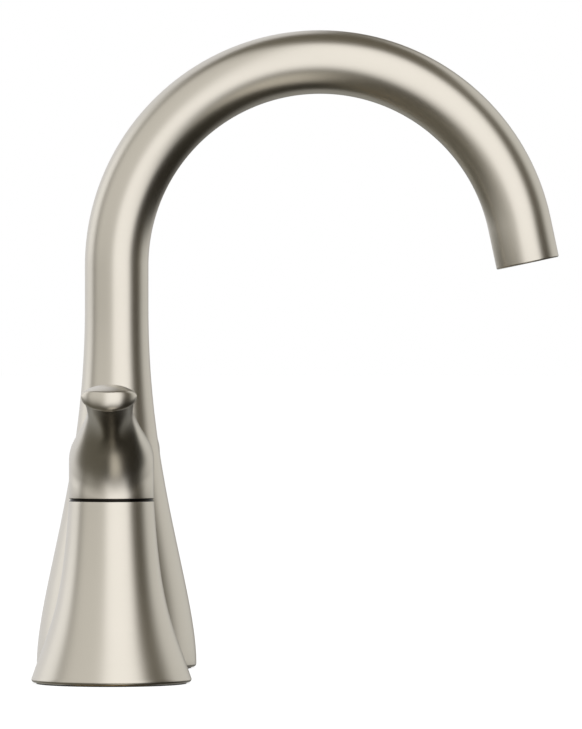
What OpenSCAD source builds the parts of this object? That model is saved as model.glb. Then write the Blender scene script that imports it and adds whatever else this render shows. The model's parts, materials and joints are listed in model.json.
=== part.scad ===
// Widespread bathroom faucet: a gooseneck spout between two quarter-turn lever valves.
// The deck plane is z = 0. The spout points to -Y and the hot valve stands at -X.

/* [Layout] */
// Distance between the two valve centres
handle_spread = 203.2; // [152.4:25.4:304.8]
// Thickness of the deck that the set is clamped to
deck_t = 20; // [6:1:30]

/* [Gooseneck] */
// Outer diameter of the spout tube
tube_d = 20.7; // [20.2:0.1:22]
// Wall of the spout tube
tube_wall = 1.5; // [1.2:0.1:1.6]
// Radius of the arch on the tube's centre line
arch_r = 65.9; // [50:0.1:90]
// Height of the arch's centre above the deck
arch_centre_h = 130.1; // [120:0.1:170]
// Angle that the tube turns through
arch_sweep = 168; // [150:1:180]
// Straight length of tube after the arch
outlet_run = 13.2; // [13:0.1:30]

/* [Spout base] */
// Diameter of the spout's foot
base_d = 51.8; // [50:0.1:58]
// Height where the flare has narrowed to the tube
flare_h = 116; // [106:1:118]
// How far up the foot's upright pull on the curve reaches
flare_foot_pull = 25; // [15:1:30]
// How far down the neck's upright pull on the curve reaches
flare_neck_pull = 54.5; // [45:0.5:60]
// Wall of the flare at the foot
flare_wall = 3; // [2.6:0.1:3.4]
// Height at which the inside has narrowed to the tube's bore
inner_neck_h = 84; // [76:1:88]
// How far down the bore's upright pull on the inner curve reaches
inner_neck_pull = 42; // [36:0.5:48]

/* [Handle base] */
// Diameter of the escutcheon's foot
cover_d = 49.7; // [49:0.1:54]
// Diameter of the escutcheon's top
cover_top_d = 26.2; // [26:0.1:27]
// Height of the escutcheon's top above the deck
cover_h = 56.2; // [54:0.1:62]
// Wall of the escutcheon
cover_wall = 1.6; // [1.3:0.1:1.8]
// Lean of the foot from upright, in degrees
cover_foot_lean = 19.3; // [16:0.1:22]
// How far up the foot's lean pulls the curve
cover_foot_pull = 16.9; // [14:0.1:20]
// How far down the neck pulls the curve
cover_neck_pull = 34; // [28:0.5:38]
// Lean of the neck from upright, in degrees
cover_neck_lean = 3.5; // [2.5:0.1:4]

/* [Lever handle] */
// Gap between the handle and the escutcheon
seam_gap = 0.6; // [0.4:0.05:0.8]
// Diameter of the handle's hub
hub_d = 26.1; // [26:0.1:27]
// Reach of the lever from the valve's axis
lever_reach = 56; // [48:0.5:75]
// Width of the lever's paddle
lever_w = 17.2; // [15:0.1:20]
// Width of the neck between hub and paddle
neck_w = 13.8; // [12:0.1:15]
// Height of the lever's tip above the hub's foot
lever_rise = 33.2; // [30:0.1:40]
// Thickness of the paddle at the tip
lever_tip_t = 5.6; // [4:0.1:8]
// Height of the hub's straight side under the lever
hub_front_h = 0.35; // [0.35:0.05:3]
// Height of the hub's straight side at the back
hub_back_h = 13.2; // [12:0.1:15]
// Radius of the tip seen from above
lever_tip_r = 9.2; // [8.8:0.1:14]
// How far up the hub's upright pull on the back line reaches
back_root_pull = 7.6; // [5:0.1:10]
// How far back from the tip the pull on the top line reaches
back_tip_pull = 16; // [13:0.5:24]
// How far above the tip that pull lies
back_tip_crown = 8.7; // [6:0.1:10]
// How far up the hub's upright pull on the front line reaches
front_root_pull = 5.8; // [4:0.1:8]
// How far back from the tip the pull on the underside reaches
front_tip_pull = 38.5; // [32:0.5:42]

/* [Valve] */
// Diameter of the threaded valve body
body_d = 28; // [27.5:0.1:28.6]
// Diameter of the ceramic cartridge
cartridge_d = 16.8; // [16:0.1:17]
// Depth of the cartridge's cavity
cavity_depth = 28; // [27:0.5:32]
// Diameter of the cartridge's stem
stem_d = 8; // [7:0.1:8.4]
// Length of the valve body below the deck
body_below = 85; // [80:1:110]
// Radius of the water passages in the valve body
inlet_bore_r = 4.5; // [3.8:0.1:4.7]
// Depth of the valve body's top below the escutcheon's top
valve_sink = 14.2; // [13.5:0.1:15]
// Angle that the hose outlets are turned from the spout towards the wall
outlet_turn = 30; // [20:1:60]

/* [Fixings] */
// Outer diameter of the half-inch pipe thread
pipe_d = 20.8; // [20.2:0.1:21]
// Length of the spout shank below the deck
shank_below = 68; // [60:1:100]
// Outer diameter of the clamping washers
washer_d = 42; // [40:0.5:48]
// Thickness of the rubber washers
rubber_t = 3; // [2:0.5:4]
// Thickness of the steel washers
steel_t = 1.5; // [1:0.1:2]
// Height of the mounting nuts
nut_t = 9; // [7:0.5:12]
// Diameter of the set screws and adapter screws
screw_d = 4; // [3:0.1:4]
// Depth of the tee's arms below the foot of the shank, on the centre line
tee_arm_drop = 16; // [15:0.5:24]
// Angle that the tee's arms point down from level
tee_arm_dip = 20; // [15:1:45]
// Reach of the tee's arms from the shank's axis
tee_arm_reach = 36; // [34:0.5:50]

/* [Clearances] */
// Radial clearance of a thread or a push fit
fit = 0.15; // [0.12:0.01:0.16]
// Radial clearance of the turning stem
running = 0.1; // [0.06:0.01:0.1]
// Clearance between a turning piece and a fixed one
turn_gap = 0.3; // [0.25:0.01:0.35]
// Clearance between stacked pieces
stack_gap = 0.05; // [0.02:0.01:0.08]

/* [Hidden] */
$fn = 96;
eps = 0.01;
overcut = 1;
hands = ["hot", "cold"];
valve_pieces = [
    "lever_handle", "set_screw", "screw_plug", "stem_adapter", "adapter_screw",
    "cartridge_stem", "stem_clip", "stem_o_ring", "upper_disc",
    "lower_disc", "seat_seal", "cartridge_body", "cartridge_nut", "glide_ring",
    "escutcheon", "base_gasket", "valve_body", "body_gasket",
    "rubber_washer", "steel_washer", "mounting_nut", "outlet_nipple"
];
spout_pieces = [
    "spout_shell", "spout_base_gasket", "spout_shank", "shank_gasket", "spout_o_rings",
    "spout_rubber_washer", "spout_steel_washer", "spout_mounting_nut", "spout_tee", "tee_washer",
    "aerator_washer", "aerator_housing", "flow_restrictor", "aerator_screen"
];

// Finishes
nickel = [0.74, 0.71, 0.66];
brass = [0.78, 0.62, 0.32];
steel = [0.62, 0.63, 0.65];
rubber = [0.13, 0.13, 0.14];
white_plastic = [0.9, 0.9, 0.88];
grey_plastic = [0.45, 0.46, 0.48];
ceramic = [0.93, 0.91, 0.86];

// Foot rims: both stand a little above the deck on a gasket in a groove
foot_lift = 0.4;
foot_edge_r = 1;
gasket_t = 1.6;
gasket_w = 2.6;
rim_w = 5;
rim_t = 3;
groove_inset = 1.6;

// Spout radii and heights
tube_r = tube_d / 2;
bore_r = tube_r - tube_wall;
base_r = base_d / 2;
pipe_r = pipe_d / 2;
flange_r = 17;
flange_t = 3;
flange_top = gasket_t + flange_t;
flange_gap = 0.2;
web_z = flange_top + flange_gap;
web_t = 10;
post_gap = 0.45;
post_r = bore_r - post_gap;
post_drop = 8;
post_top = flare_h - post_drop;
shank_bore_r = 5.5;
ring_wire_r = 0.78;
ring_squeeze = 0.1;
ring_groove_w = 2;
ring_pitch = 6;
ring_zs = [post_top - 2 * ring_pitch, post_top - ring_pitch];

// Outlet: the aerator is set back in the mouth of the tube
mouth_edge = 0.5;
aerator_depth = 11;
aerator_seat_t = 1.5;
aerator_seat_w = 1.45;
aerator_recess = 1.2;
aerator_washer_t = 1.8;
aerator_washer_w = 2.45;
aerator_wall = 1.3;
aerator_r = bore_r - fit;
aerator_bore_r = aerator_r - aerator_wall;
aerator_lip = 0.8;
restrictor_t = 1.8;
restrictor_lift = 0.4;
restrictor_hole_r = 0.9;
restrictor_hole_in = 2.6;
screen_t = 1.4;
screen_z = -4;
screen_hole_r = 0.55;
screen_pitch = 2.1;
screen_rim = 0.4;

// Heights at a valve, from the escutcheon's top down
cover_r = cover_d / 2;
cover_top_r = cover_top_d / 2;
glide_depth = 6.2;
glide_rise = 2.8;
glide_wall = 1.15;
cover_top_wall = 1.5;
glide_bore_r = cover_top_r - cover_top_wall;
glide_r = glide_bore_r - fit;
glide_top = cover_h + glide_rise;
ledge_w = 0.6;
ledge_t = 1.5;
upper_len = 14;
valve_top = cover_h - valve_sink;
sleeve_top = valve_top - upper_len;
seat_z = valve_top - cavity_depth;
collar_sink = 6;
collar_top = sleeve_top - collar_sink;
collar_t = 8;

// Valve body radii
body_r = body_d / 2;
cart_gap = 0.2;
cavity_r = cartridge_d / 2 + cart_gap;
cart_ledge = 1;
nut_bore_r = cavity_r + cart_ledge;
upper_wall = 1.7;
upper_r = nut_bore_r + upper_wall;
gland_depth = 6;
rim_gap = 0.5;
body_flange_r = cover_r - rim_w - foot_edge_r - rim_gap;
pipe_len = 23;
passage_r = 2.6;
passage_wall = 2.1;
passage_u = body_r - passage_r - passage_wall;
passage_sink = 3;
passage_bottom = -50;
port_r = 6.6;
port_floor_u = 8;

// Cartridge
cart_r = cartridge_d / 2;
cart_wall = 1.55;
chamber_r = cart_r - cart_wall;
cart_z = seat_z + cart_gap;
flange_z = valve_top - gland_depth;
cart_flange_r = nut_bore_r - cart_gap;
cart_flange_t = 2;
stem_r = stem_d / 2;
disc_gap = 0.25;
disc_r = chamber_r - disc_gap;
seal_t = 2.4;
disc_t = 3;
disc_port_r = 1.6;
disc_port_u = 3.6;
tang_w = 2;
tang_t = 1.1;
tang_gap = 0.1;
tang_inset = 1.2;
drive_t = 3;
drive_gap = 0.4;
lower_disc_z = cart_z + seal_t;
upper_disc_z = lower_disc_z + disc_t + stack_gap;
drive_z = upper_disc_z + disc_t + stack_gap;
chamber_top = drive_z + drive_t + drive_gap;
cart_neck_h = 8.5;
neck_top = valve_top + cart_neck_h;
window_w = 6;
window_margin = 1;
cart_neck_wall = 2.1;
cart_neck_r = stem_r + running + cart_neck_wall;
gland_bore_r = cart_neck_r + cart_gap;
gland_inset = 0.5;
gland_head_r = upper_r - gland_inset;
gland_head_t = 5.4;
groove_z = valve_top;
groove_w = 1.8;
groove_depth = 1.4;
groove_r = stem_r - groove_depth;
clip_gap = 0.35;
clip_z = neck_top + clip_gap;
clip_t = 1;
clip_depth = 0.8;
clip_groove_r = stem_r - clip_depth;
clip_w = 1.6;
clip_r = stem_r + clip_w;
clip_mouth = 5;

// Handle and what holds it
hub_r = hub_d / 2;
hub_z = cover_h + seam_gap;
hub_edge = 0.3;
hub_cavity_r = glide_r + turn_gap;
hub_cavity_room = 1.5;
hub_cavity_top = glide_top + hub_cavity_room;
adapter_r = 6.75;
adapter_lift = 0.4;
adapter_z = hub_z + adapter_lift;
adapter_len = 12.4;
adapter_top = adapter_z + adapter_len;
stem_in_adapter = 10;
stem_top = adapter_z + stem_in_adapter;
socket_r = adapter_r + fit;
screw_r = screw_d / 2;
screw_head_r = 3.6;
screw_head_t = 2.1;
screw_head_room = 0.6;
adapter_screw_len = 8.5;
hex_key_r = 1.3;
hex_key_depth = 1.4;
socket_top = adapter_top + screw_head_t + screw_head_room;
adapter_screw_tip = stem_top - adapter_screw_len;
set_screw_h = 7.4;
set_screw_z = hub_z + set_screw_h;
set_screw_len = 4.2;
plug_lip = 0.6;
plug_r = screw_r + plug_lip;
plug_t = 1.2;
plug_len = 1.7;

// Lever rails: the back and top line, and the front and underside line, seen from the side
lever_top_z = hub_z + lever_rise;
lever_under_z = lever_top_z - lever_tip_t;
front_tip_crown = 1.3;
back_rail = [
    [-hub_r, hub_z + hub_back_h],
    [-hub_r, hub_z + hub_back_h + back_root_pull],
    [lever_reach - back_tip_pull, lever_top_z + back_tip_crown],
    [lever_reach, lever_top_z]
];
front_rail = [
    [hub_r, hub_z + hub_front_h],
    [hub_r, hub_z + hub_front_h + front_root_pull],
    [lever_reach - front_tip_pull, lever_under_z + front_tip_crown],
    [lever_reach, lever_under_z]
];
neck_from = 0.14;
neck_at = 0.63;
paddle_from = 0.6;
widest_at_hub = 0.5;
widest_at_tip = 0.3;
widest_dip = 0.13;
dip_at = 0.23;
dip_end = 0.43;
lever_rings = 24;
ring_points = 32;

// Under the deck
deck_under = -deck_t;
rubber_z = deck_under - rubber_t;
steel_z = rubber_z - steel_t;
nut_z = steel_z - nut_t;
nut_wall = 6.5;
valve_nut_r = body_r + nut_wall;
spout_nut_r = pipe_r + nut_wall;
nut_edge = 1.2;
nipple_reach = 18;
nipple_depth = 1.1;
nipple_hex_gap = 0.2;
nipple_thread_r = 7.1;
nipple_bore_r = 4;
nipple_hex_r = 9;
nipple_hex_t = 4;
tee_wall = 3.4;
tee_collar_r = pipe_r + tee_wall;
tee_collar_h = 12;
tee_washer_t = 2.4;
tee_root_r = 8.6;
tee_root_len = 22;
tee_arm_z = -shank_below - tee_arm_drop;
tee_foot_t = 1;
tee_bottom = tee_arm_z - tee_root_r / cos(tee_arm_dip) - tee_collar_r * tan(tee_arm_dip) - tee_foot_t;
tee_floor_z = -shank_below - tee_washer_t;

function bezier(p, t) =
    pow(1 - t, 3) * p[0] + 3 * pow(1 - t, 2) * t * p[1]
    + 3 * (1 - t) * t * t * p[2] + pow(t, 3) * p[3];
function smooth(a, b, t) = let (s = min(1, max(0, (t - a) / (b - a)))) s * s * (3 - 2 * s);
function mix(a, b, s) = a + (b - a) * s;

// Points of a curve as radius and height, and the radius that it has at a height
function curve(p, n) = [for (i = [0:n]) bezier(p, i / n)];
function radius_at(points, z) = lookup(z, [for (q = points) [q[1], q[0]]]);
function between(points, low, high) = [for (q = points) if (q[1] > low + eps && q[1] < high - eps) q];
function reversed(list) = [for (i = [len(list) - 1:-1:0]) list[i]];
function inward(points, wall) = [for (q = points) [q[0] - wall, q[1]]];

// Rounded outer edge of a foot, from its underside up to its side
function foot_edge(r) = [
    for (a = [-90:15:0])
        [r - foot_edge_r + foot_edge_r * cos(a), foot_lift + foot_edge_r + foot_edge_r * sin(a)]
];

// Underside of a foot: its inner corner and the groove for the gasket
function foot_under(r) = [
    [r - rim_w - foot_edge_r, foot_lift],
    [r - groove_inset - gasket_w - 2 * fit, foot_lift],
    [r - groove_inset - gasket_w - 2 * fit, gasket_t],
    [r - groove_inset, gasket_t],
    [r - groove_inset, foot_lift]
];

module ring(z0, z1, r_in, r_out) {
    rotate_extrude()
        translate([r_in, z0])
            square([r_out - r_in, z1 - z0]);
}

module rod(z0, z1, r) {
    translate([0, 0, z0])
        cylinder(h = z1 - z0, r = r);
}

// A bar along +X at a height
module cross_rod(x0, x1, r, z) {
    translate([x0, 0, z])
        rotate([0, 90, 0])
            cylinder(h = x1 - x0, r = r);
}

module hex_key_socket(z) {
    translate([0, 0, z - hex_key_depth])
        cylinder(h = hex_key_depth + eps, r = hex_key_r, $fn = 6);
}

module foot_gasket(r) {
    ring(0, gasket_t, r - groove_inset - gasket_w - fit, r - groove_inset - fit);
}

// Nut with both faces turned down to a cone at the corners
module hex_nut(z0, z1, r_bore, r_out) {
    difference() {
        intersection() {
            translate([0, 0, z0])
                cylinder(h = z1 - z0, r = r_out, $fn = 6);
            rotate_extrude()
                polygon([
                    [0, z0], [r_out - nut_edge, z0], [r_out + nut_edge, z0 + nut_edge],
                    [r_out + nut_edge, z1 - nut_edge], [r_out - nut_edge, z1], [0, z1]
                ]);
        }
        rod(z0 - overcut, z1 + overcut, r_bore);
    }
}

// Spout

flare_outer = curve([
    [base_r, foot_lift + foot_edge_r],
    [base_r, flare_foot_pull],
    [tube_r, flare_h - flare_neck_pull],
    [tube_r, flare_h]
], 28);
flare_inner = curve([
    [base_r - flare_wall, web_z],
    [base_r - flare_wall, flare_foot_pull],
    [bore_r, inner_neck_h - inner_neck_pull],
    [bore_r, inner_neck_h]
], 20);

module spout_flare() {
    recess_r = base_r - rim_w - foot_edge_r;
    thread_r = pipe_r + fit;
    rotate_extrude()
        polygon(concat(
            foot_under(base_r),
            foot_edge(base_r),
            between(flare_outer, foot_lift + foot_edge_r, flare_h),
            [[tube_r, flare_h], [bore_r, flare_h]],
            reversed(between(flare_inner, web_z + web_t, inner_neck_h + overcut)),
            [
                [radius_at(flare_inner, web_z + web_t), web_z + web_t],
                [thread_r, web_z + web_t],
                [thread_r, web_z],
                [recess_r, web_z]
            ]
        ));
}

// The tube's path at a radius: straight up from the flare, then round the arch
module tube_path(r) {
    rod(flare_h, arch_centre_h, r);
    translate([0, -arch_r, arch_centre_h])
        rotate([90, 0, 90])
            rotate_extrude(angle = arch_sweep)
                translate([arch_r, 0])
                    circle(r = r);
}

// Places its children at the mouth of the tube, with +Z pointing out of it
module at_mouth() {
    translate([0, -arch_r, arch_centre_h])
        rotate([90, 0, 90])
            rotate([0, 0, arch_sweep])
                translate([arch_r, outlet_run, 0])
                    rotate([-90, 0, 0])
                        children();
}

module spout_mouth() {
    seat_r = bore_r - aerator_seat_w;
    rotate_extrude()
        polygon([
            [bore_r, 0],
            [bore_r, -aerator_depth],
            [seat_r, -aerator_depth],
            [seat_r, -aerator_depth - aerator_seat_t],
            [bore_r, -aerator_depth - aerator_seat_t],
            [bore_r, -outlet_run],
            [tube_r, -outlet_run],
            [tube_r, -mouth_edge],
            [tube_r - 0.3 * mouth_edge, -0.3 * mouth_edge],
            [tube_r - mouth_edge, 0]
        ]);
}

module spout_shell() {
    color(nickel) {
        spout_flare();
        difference() {
            tube_path(tube_r);
            tube_path(bore_r);
        }
        at_mouth()
            spout_mouth();
    }
}

module spout_base_gasket() {
    color(rubber)
        foot_gasket(base_r);
}

module spout_shank() {
    color(brass)
        difference() {
            union() {
                rod(-shank_below, web_z + web_t - flange_gap, pipe_r);
                rod(gasket_t, flange_top, flange_r);
                rod(web_z, post_top, post_r);
            }
            rod(-shank_below - overcut, post_top + overcut, shank_bore_r);
            for (z = ring_zs)
                ring(
                    z - ring_groove_w / 2, z + ring_groove_w / 2,
                    bore_r - 2 * ring_wire_r - ring_squeeze, bore_r
                );
        }
}

module shank_gasket() {
    color(rubber)
        ring(0, gasket_t, pipe_r + fit, flange_r);
}

module spout_o_rings() {
    color(rubber)
        for (z = ring_zs)
            translate([0, 0, z])
                rotate_extrude()
                    translate([bore_r - stack_gap - ring_wire_r, 0])
                        circle(r = ring_wire_r);
}

module spout_rubber_washer() {
    color(rubber)
        ring(rubber_z, deck_under, pipe_r + fit, washer_d / 2);
}

module spout_steel_washer() {
    color(steel)
        ring(steel_z, rubber_z, pipe_r + fit, washer_d / 2);
}

module spout_mounting_nut() {
    color(brass)
        hex_nut(nut_z, steel_z, pipe_r + fit, spout_nut_r);
}

// Places its children along both arms of the tee, with +Z pointing out and down
module at_tee_arms() {
    for (side = [-1, 1])
        translate([0, 0, tee_arm_z])
            rotate([0, side * (90 + tee_arm_dip), 0])
                children();
}

// The tee joins the two valve hoses to the foot of the shank
module spout_tee() {
    color(brass)
        difference() {
            union() {
                rod(tee_bottom, tee_floor_z + tee_collar_h, tee_collar_r);
                at_tee_arms() {
                    rod(0, tee_root_len, tee_root_r);
                    rod(tee_root_len - overcut, tee_arm_reach, nipple_thread_r);
                }
            }
            rod(tee_floor_z, tee_floor_z + tee_collar_h + overcut, pipe_r + fit);
            rod(tee_arm_z, tee_floor_z + overcut, shank_bore_r);
            at_tee_arms()
                rod(0, tee_arm_reach + overcut, nipple_bore_r);
        }
}

module tee_washer() {
    color(rubber)
        ring(tee_floor_z, -shank_below, shank_bore_r, pipe_r);
}

module aerator_washer() {
    color(rubber)
        at_mouth()
            ring(
                -aerator_depth, -aerator_depth + aerator_washer_t,
                aerator_r - aerator_washer_w, aerator_r
            );
}

// Cup that screws into the mouth and holds the screen against its lip
module aerator_housing() {
    cup_z = -aerator_depth + aerator_washer_t + stack_gap;
    color(grey_plastic)
        at_mouth()
            difference() {
                rod(cup_z, -aerator_recess, aerator_r);
                rod(cup_z - overcut, screen_z + screen_t, aerator_bore_r);
                rod(cup_z - overcut, overcut, aerator_bore_r - aerator_lip);
            }
}

module flow_restrictor() {
    restrictor_z = -aerator_depth + aerator_washer_t + restrictor_lift;
    color(white_plastic)
        at_mouth()
            difference() {
                rod(restrictor_z, restrictor_z + restrictor_t, aerator_bore_r - fit);
                for (a = [0:60:300])
                    rotate([0, 0, a])
                        translate([aerator_bore_r - restrictor_hole_in, 0, restrictor_z - overcut])
                            cylinder(h = restrictor_t + 2 * overcut, r = restrictor_hole_r);
            }
}

module aerator_screen() {
    color(white_plastic)
        at_mouth()
            difference() {
                rod(screen_z, screen_z + screen_t - stack_gap, aerator_bore_r - fit);
                for (i = [-3:3], j = [-3:3])
                    let (x = (i + j / 2) * screen_pitch, y = j * screen_pitch * sin(60))
                        if (norm([x, y]) < aerator_bore_r - aerator_lip - screen_hole_r - screen_rim)
                            translate([x, y, screen_z - overcut])
                                cylinder(h = screen_t + 2 * overcut, r = screen_hole_r);
            }
}

// Handle, drawn with the lever pointing to +X

function paddle_share(t) = smooth(paddle_from, 1, t);
function widest_share(t) =
    mix(widest_at_hub, widest_at_tip, paddle_share(t))
    - widest_dip * smooth(0, dip_at, t) * (1 - smooth(dip_at, dip_end, t));
function lever_half_width(t) =
    mix(hub_r, neck_w / 2, smooth(neck_from, neck_at, t))
    + (lever_w - neck_w) / 2 * paddle_share(t);

// One closed section between the two rails, half an ellipse above its widest line and half below
function lever_ring(t) =
    let (
        back = bezier(back_rail, t),
        front = bezier(front_rail, t),
        middle = mix(back, front, widest_share(t)),
        w = lever_half_width(t)
    )
    [
        for (k = [0:ring_points - 1])
            let (
                a = 360 * k / ring_points,
                side = sin(a) >= 0 ? back - middle : middle - front,
                p = middle + side * sin(a)
            )
            [p[0], w * cos(a), p[1]]
    ];

function hub_circle(r, z) = [
    for (k = [0:ring_points - 1])
        let (a = 360 * k / ring_points)
        [-r * sin(a), r * cos(a), z]
];

module lever_loft() {
    rings = concat(
        [hub_circle(hub_r - hub_edge, hub_z), hub_circle(hub_r, hub_z + hub_edge)],
        [for (i = [0:lever_rings]) lever_ring(i / lever_rings)]
    );
    last = len(rings) - 1;
    sides = [
        for (i = [0:last - 1], k = [0:ring_points - 1])
            let (
                next = (k + 1) % ring_points,
                a = i * ring_points + k,
                b = i * ring_points + next,
                c = (i + 1) * ring_points + next,
                d = (i + 1) * ring_points + k
            )
            each [[a, b, c], [a, c, d]]
    ];
    foot = [for (k = [ring_points - 1:-1:0]) k];
    tip = [for (k = [0:ring_points - 1]) last * ring_points + k];
    polyhedron([for (r = rings) each r], concat(sides, [foot], [tip]), convexity = 6);
}

// What is cut off the end of the loft, so that the tip is round seen from above
module tip_waste() {
    tall = 3 * lever_tip_t;
    translate([lever_reach - lever_tip_r, -lever_w, lever_top_z - 2 * lever_tip_t])
        difference() {
            cube([2 * lever_tip_r, 2 * lever_w, tall]);
            translate([0, lever_w, -overcut])
                cylinder(h = tall + 2 * overcut, r = lever_tip_r);
        }
}

module lever_handle() {
    color(nickel)
        difference() {
            lever_loft();
            tip_waste();
            rod(hub_z - overcut, hub_cavity_top, hub_cavity_r);
            rod(hub_z, socket_top, socket_r);
            cross_rod(-hub_r - overcut, -socket_r + overcut, screw_r + fit, set_screw_z);
            cross_rod(-hub_r - overcut, -hub_r + plug_t, plug_r + fit, set_screw_z);
        }
}

module set_screw() {
    color(steel)
        translate([-adapter_r - stack_gap, 0, set_screw_z])
            rotate([0, -90, 0])
                difference() {
                    cylinder(h = set_screw_len, r = screw_r);
                    hex_key_socket(set_screw_len);
                }
}

module screw_plug() {
    color(nickel)
        intersection() {
            union() {
                cross_rod(-hub_r - overcut, -hub_r + plug_t - stack_gap, plug_r, set_screw_z);
                cross_rod(-hub_r - overcut, -hub_r + plug_len, screw_r, set_screw_z);
            }
            rod(hub_z, socket_top, hub_r);
        }
}

module stem_adapter() {
    color(brass)
        difference() {
            rod(adapter_z, adapter_top, adapter_r);
            rod(adapter_z - overcut, stem_top + stack_gap, stem_r + stack_gap);
            rod(adapter_z, adapter_top + overcut, screw_r + fit);
        }
}

module adapter_screw() {
    color(steel)
        difference() {
            union() {
                rod(adapter_screw_tip, adapter_top + stack_gap, screw_r);
                rod(adapter_top + stack_gap, adapter_top + screw_head_t, screw_head_r);
            }
            hex_key_socket(adapter_top + screw_head_t);
        }
}

// Stem: tang and drive disc at the foot, then a shaft with an o-ring groove and a clip groove
module cartridge_stem() {
    color(brass)
        difference() {
            union() {
                translate([-disc_r + tang_inset, -tang_w / 2, drive_z - tang_t])
                    cube([2 * (disc_r - tang_inset), tang_w, tang_t + overcut]);
                rod(drive_z, drive_z + drive_t, disc_r);
                rod(drive_z, stem_top, stem_r);
            }
            rod(adapter_screw_tip - overcut, stem_top + overcut, screw_r + stack_gap);
            ring(groove_z, groove_z + groove_w, groove_r, stem_r + overcut);
            ring(clip_z - stack_gap, clip_z + clip_t + stack_gap, clip_groove_r, stem_r + overcut);
        }
}

module stem_clip() {
    color(steel)
        difference() {
            ring(clip_z, clip_z + clip_t, clip_groove_r + stack_gap, clip_r);
            translate([0, -clip_mouth / 2, clip_z - overcut])
                cube([clip_r + overcut, clip_mouth, clip_t + 2 * overcut]);
        }
}

module stem_o_ring() {
    wire_r = (stem_r - groove_r) / 2;
    color(rubber)
        translate([0, 0, groove_z + groove_w / 2])
            rotate_extrude()
                translate([groove_r + wire_r + stack_gap / 2, 0])
                    circle(r = wire_r);
}

module upper_disc() {
    color(ceramic)
        difference() {
            rod(upper_disc_z, upper_disc_z + disc_t, disc_r);
            translate([-disc_r, -tang_w / 2 - tang_gap, drive_z - tang_t - tang_gap])
                cube([2 * disc_r, tang_w + 2 * tang_gap, disc_t]);
            for (side = [-1, 1])
                translate([0, side * disc_port_u, upper_disc_z - overcut])
                    cylinder(h = disc_t + 2 * overcut, r = disc_port_r);
        }
}

module lower_disc() {
    color(ceramic)
        difference() {
            rod(lower_disc_z, lower_disc_z + disc_t, disc_r + 0.1);
            for (side = [-1, 1])
                translate([side * disc_port_u, 0, lower_disc_z - overcut])
                    cylinder(h = disc_t + 2 * overcut, r = disc_port_r);
        }
}

module seat_seal() {
    color(rubber)
        ring(seat_z + stack_gap, lower_disc_z - stack_gap, inlet_bore_r, disc_r);
}

module cartridge_body() {
    window_z = upper_disc_z + window_margin;
    window_h = chamber_top - window_z - window_margin;
    color(brass)
        difference() {
            union() {
                rod(cart_z, valve_top, cart_r);
                rod(flange_z + stack_gap, flange_z + cart_flange_t, cart_flange_r);
                rod(cart_z, neck_top, cart_neck_r);
            }
            rod(cart_z - overcut, chamber_top, chamber_r);
            rod(cart_z, neck_top + overcut, stem_r + running);
            translate([-cart_r - overcut, -window_w / 2, window_z])
                cube([2 * (cart_r + overcut), window_w, window_h]);
        }
}

module cartridge_nut() {
    gland_z = flange_z + cart_flange_t + stack_gap;
    color(brass)
        difference() {
            union() {
                rod(gland_z, valve_top + overcut, nut_bore_r - fit);
                translate([0, 0, valve_top + stack_gap])
                    cylinder(h = gland_head_t, r = gland_head_r, $fn = 6);
            }
            rod(gland_z - overcut, valve_top + stack_gap + gland_head_t + overcut, gland_bore_r);
            rod(gland_z - overcut, valve_top + stack_gap, cart_r + fit);
        }
}

// Sleeve that centres the turning handle on the escutcheon
module glide_ring() {
    color(grey_plastic)
        ring(cover_h - glide_depth, glide_top, glide_r - glide_wall, glide_r);
}

cover_outer = curve([
    [cover_r, foot_lift + foot_edge_r],
    [cover_r - cover_foot_pull * tan(cover_foot_lean), foot_lift + foot_edge_r + cover_foot_pull],
    [cover_top_r + cover_neck_pull * tan(cover_neck_lean), cover_h - cover_neck_pull],
    [cover_top_r, cover_h]
], 24);

module escutcheon() {
    inside = inward(cover_outer, cover_wall);
    ledge_top = cover_h - glide_depth;
    ledge_low = ledge_top - ledge_t;
    ledge_r = glide_bore_r - ledge_w;
    collar_low = collar_top - collar_t;
    collar_r = body_r + fit;
    rim_top = foot_lift + rim_t;
    color(nickel)
        rotate_extrude()
            polygon(concat(
                foot_under(cover_r),
                foot_edge(cover_r),
                between(cover_outer, foot_lift + foot_edge_r, cover_h - hub_edge),
                [
                    [radius_at(cover_outer, cover_h - hub_edge), cover_h - hub_edge],
                    [cover_top_r - hub_edge, cover_h],
                    [glide_bore_r, cover_h],
                    [glide_bore_r, ledge_top],
                    [ledge_r, ledge_top],
                    [ledge_r, ledge_low],
                    [radius_at(inside, ledge_low), ledge_low]
                ],
                reversed(between(inside, collar_top, ledge_low)),
                [
                    [radius_at(inside, collar_top), collar_top],
                    [collar_r, collar_top],
                    [collar_r, collar_low],
                    [radius_at(inside, collar_low), collar_low]
                ],
                reversed(between(inside, rim_top, collar_low)),
                [
                    [radius_at(inside, rim_top), rim_top],
                    [cover_r - rim_w - foot_edge_r, rim_top]
                ]
            ));
}

module base_gasket() {
    color(rubber)
        foot_gasket(cover_r);
}

// Valve body: pipe thread at the foot, deck thread, flange, and a cavity for the cartridge
module valve_body() {
    color(brass)
        difference() {
            union() {
                rod(-body_below, -body_below + pipe_len + overcut, pipe_r);
                rod(-body_below + pipe_len, sleeve_top, body_r);
                rod(sleeve_top - overcut, valve_top, upper_r);
                rod(gasket_t, flange_top, body_flange_r);
            }
            rod(-body_below - overcut, seat_z + overcut, inlet_bore_r);
            rod(seat_z, valve_top + overcut, cavity_r);
            rod(flange_z, valve_top + overcut, nut_bore_r);
            rotate([0, 0, -outlet_turn]) {
                translate([-passage_u, 0, passage_bottom])
                    cylinder(h = sleeve_top - passage_sink - passage_bottom, r = passage_r);
                cross_rod(-body_r - overcut, -port_floor_u, port_r, passage_bottom);
            }
        }
}

module body_gasket() {
    color(rubber)
        ring(0, gasket_t, body_r + fit, body_flange_r);
}

module rubber_washer() {
    color(rubber)
        ring(rubber_z, deck_under, body_r + fit, washer_d / 2);
}

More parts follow.
